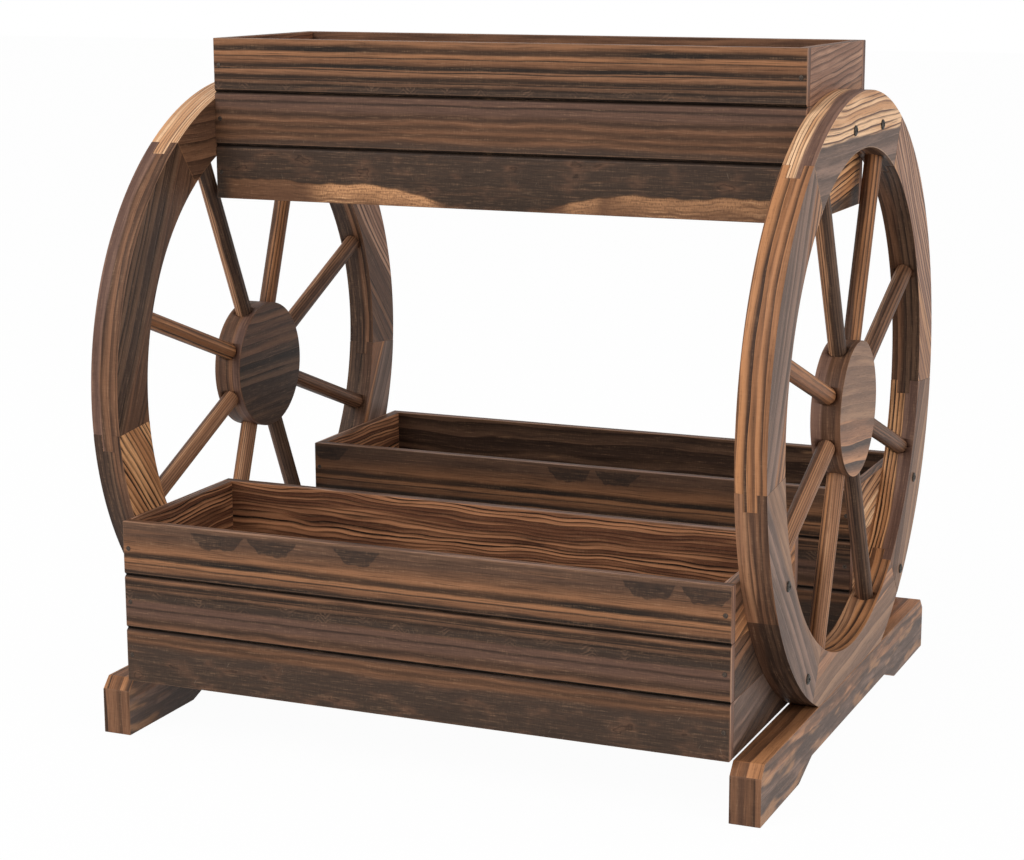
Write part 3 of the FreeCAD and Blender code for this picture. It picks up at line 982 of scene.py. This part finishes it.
def points_mesh(name, places):
    """A mesh of single points, each with the way that its fastener faces."""
    mesh = bpy.data.meshes.new(name)
    mesh.from_pydata([place for place, way in places], [], [])
    outward = mesh.attributes.new("outward", "FLOAT_VECTOR", "POINT")
    outward.data.foreach_set("vector", [part for place, way in places for part in way])
    return mesh


wheel_screw_spots = [           # y and z of each screw head on a wheel
    (-32.5 * mm, 480.2 * mm),
    (48.1 * mm, 479.3 * mm),
    (-184.2 * mm, 164.1 * mm),
    (-127.2 * mm, 77.5 * mm),
    (189.8 * mm, 166.1 * mm),
    (152.0 * mm, 93.9 * mm),
]


def wheel_screw_places():
    places = []
    for side, sign in sides.items():
        for y, z in wheel_screw_spots:
            places.append(((sign * wheel_outside, y, z), (sign, 0, 0)))
    return places


nail_from_end = 4.5 * mm


def nail_places():
    places = []
    for box in boxes:
        for row in rows:
            for wall, way in (("front", -1), ("rear", 1)):
                low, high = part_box(f"{box}_{wall}_board_{row}")
                face = low.y if way < 0 else high.y
                for x in (low.x + nail_from_end, high.x - nail_from_end):
                    places.append(((x, face, (low.z + high.z) / 2), (0, way, 0)))
    return places


def add_wheel_screws():
    steps = head_steps("wheel_screw_steps", screw_steel, crossed=True)
    values = {
        "Width": 8.2 * mm,
        "Edge": 0.5 * mm,
        "Dome": 1.35 * mm,
        "Recess Span": 4.1 * mm,
        "Recess Width": 1.1 * mm,
        "Recess Depth": 1.0 * mm,
        "Turn Seed": 4,
    }
    points = points_mesh("wheel_screw_points", wheel_screw_places())
    mesh = grown(steps, "wheel_screw_heads", points, values)
    smooth(mesh)
    new_piece("wheel_screw_heads", mesh, "screw_steel", "wheel_screws")


def add_nails():
    steps = head_steps("nail_steps", nail_steel, crossed=False)
    values = {"Width": 3.6 * mm, "Edge": 0.08 * mm, "Dome": 0.2 * mm, "Turn Seed": 5}
    mesh = grown(steps, "nail_heads", points_mesh("nail_points", nail_places()), values)
    smooth(mesh)
    new_piece("nail_heads", mesh, "nail_steel", "board_nails")


def spoke_steps(material):
    """Round bars set around a hub, lying in the plane of the wheel."""
    steps = Steps("spoke_steps", {
        "Count": "NodeSocketInt",
        "First Angle": "NodeSocketFloat",
        "Start": "NodeSocketFloat",
        "End": "NodeSocketFloat",
        "Diameter": "NodeSocketFloat",
    })
    length = steps.sum("SUBTRACT", steps.input("End"), steps.input("Start"))
    middle = steps.sum("MULTIPLY", steps.sum("ADD", steps.input("End"), steps.input("Start")), 0.5)
    radius = steps.sum("MULTIPLY", steps.input("Diameter"), 0.5)
    bar = steps.node(
        "GeometryNodeMeshCylinder", None,
        {"Vertices": 32, "Side Segments": 6, "Radius": radius, "Depth": length},
    )
    outward = steps.node("ShaderNodeCombineXYZ", None, {2: middle})
    bar = steps.node("GeometryNodeTransform", None, {"Geometry": bar, "Translation": outward})
    centre = {"Count": steps.input("Count"), "Offset": (0, 0, 0)}
    points = steps.node("GeometryNodeMeshLine", None, centre)
    index = steps.node("GeometryNodeInputIndex")
    step = steps.sum("DIVIDE", -math.tau, steps.input("Count"))
    angle = steps.sum("ADD", steps.sum("MULTIPLY", index, step), math.pi / 2)
    angle = steps.sum("SUBTRACT", steps.input("First Angle"), angle)
    turn = steps.node("ShaderNodeCombineXYZ", None, {0: angle})
    bars = steps.node(
        "GeometryNodeInstanceOnPoints", None,
        {"Points": points, "Instance": bar, "Rotation": turn},
    )
    steps.finish(bars, material)
    return steps


def paint_spokes(mesh, side):
    """Gives each bar its own finish, and its place along and across the grain."""
    step = math.tau / spoke_count
    values = []
    mesh.materials.clear()
    for number in range(spoke_count):
        mesh.materials.append(woods[f"spoke_{number}"])
    for face in mesh.polygons:
        way = Vector((0, face.center.y, face.center.z - hub_centre))
        number = round((math.atan2(way.z, way.y) - first_spoke) / step) % spoke_count
        face.material_index = number
        angle = first_spoke + number * step
        along = Vector((0, math.cos(angle), math.sin(angle)))
        across = Vector((0, -math.sin(angle), math.cos(angle)))
        middle = math.atan2(face.center.x - wheel_middle * sides[side], way.dot(across))
        for loop in face.loop_indices:
            point = mesh.vertices[mesh.loops[loop].vertex_index].co
            way = Vector((0, point.y, point.z - hub_centre))
            turn = math.atan2(point.x - wheel_middle * sides[side], way.dot(across))
            turn = middle + (turn - middle + math.pi) % math.tau - math.pi
            values += [way.dot(along), turn * spoke_diameter / 2, seed_of(f"{side}spoke{number}")]
    store_grain(mesh, values, [0.0] * len(mesh.loops))


def add_spokes(side):
    steps = spoke_steps(woods["spoke_0"])
    values = {
        "Count": spoke_count,
        "First Angle": first_spoke,
        "Start": hub_radius - spoke_sink,
        "End": rim_radius - rim_width + spoke_sink,
        "Diameter": spoke_diameter,
    }
    start = points_mesh(side + "_spoke_start", [((0, 0, 0), (0, 0, 1))])
    mesh = grown(steps, side + "_spokes", start, values)
    mesh.transform(Matrix.Translation((wheel_middle * sides[side], 0, hub_centre)))
    paint_spokes(mesh, side)
    smooth(mesh)
    new_piece(side + "_spokes_turned", mesh, "spoke_wood", side + "_wheel_spokes")


add_wheel_screws()
add_nails()
for side in sides:
    add_spokes(side)
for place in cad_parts["foot_screws"].material_slots:
    place.material = screw_steel

# ---------------------------------------------------------------- floor and light


white = (1, 1, 1, 1)
floor_glow = 0.97               # the rest of the floor's look takes the shadow


def add_floor():
    paint = Paint(bpy.data.materials.new("pale_floor"))
    seen = paint.ray("Is Camera Ray").most(paint.ray("Is Glossy Ray"))
    seen = seen.most(paint.ray("Is Transmission Ray"))
    plain = paint.node("ShaderNodeBsdfDiffuse", None, {"Color": tone(238, 238, 238)})
    bright = paint.node("ShaderNodeEmission", None, {"Color": white, "Strength": 1.0})
    both = paint.node("ShaderNodeMixShader", None, {0: seen * floor_glow, 1: plain, 2: bright})
    paint.node("ShaderNodeOutputMaterial", None, [both])
    shape = bmesh.new()
    bmesh.ops.create_grid(shape, x_segments=1, y_segments=1, size=12.0)
    mesh = bpy.data.meshes.new("pale_floor")
    shape.to_mesh(mesh)
    shape.free()
    mesh.materials.append(paint.owner)
    floor = added("pale_floor", mesh)


def add_world(level):
    """White where the camera sees it, and a light of the given level on the stand."""
    paint = Paint(bpy.data.worlds.new("studio"))
    bpy.context.scene.world = paint.owner
    seen = paint.ray("Is Camera Ray").most(paint.ray("Is Transmission Ray"))
    strength = paint.node("ShaderNodeMapRange", None, {"Value": seen, "To Min": level, "To Max": 1.0})
    light = paint.node("ShaderNodeBackground", None, {"Color": white, "Strength": strength})
    paint.node("ShaderNodeOutputWorld", None, [light])


def add_lamp(name, place, target, size, power):
    lamp = bpy.data.lights.new(name, "AREA")
    lamp.shape = "SQUARE"
    lamp.size = size
    lamp.energy = power
    thing = added(name, lamp)
    thing.location = place
    way = Vector(target) - Vector(place)
    thing.rotation_euler = way.to_track_quat("-Z", "Y").to_euler()


add_floor()
add_world(0.7)
add_lamp("key_lamp", (-1.2, -2.6, 2.4), (0, 0, 0.25), 1.8, 55)
add_lamp("side_lamp", (2.8, -0.6, 1.4), (0, 0, 0.25), 1.6, 22)
bpy.context.scene.view_settings.view_transform = "Standard"
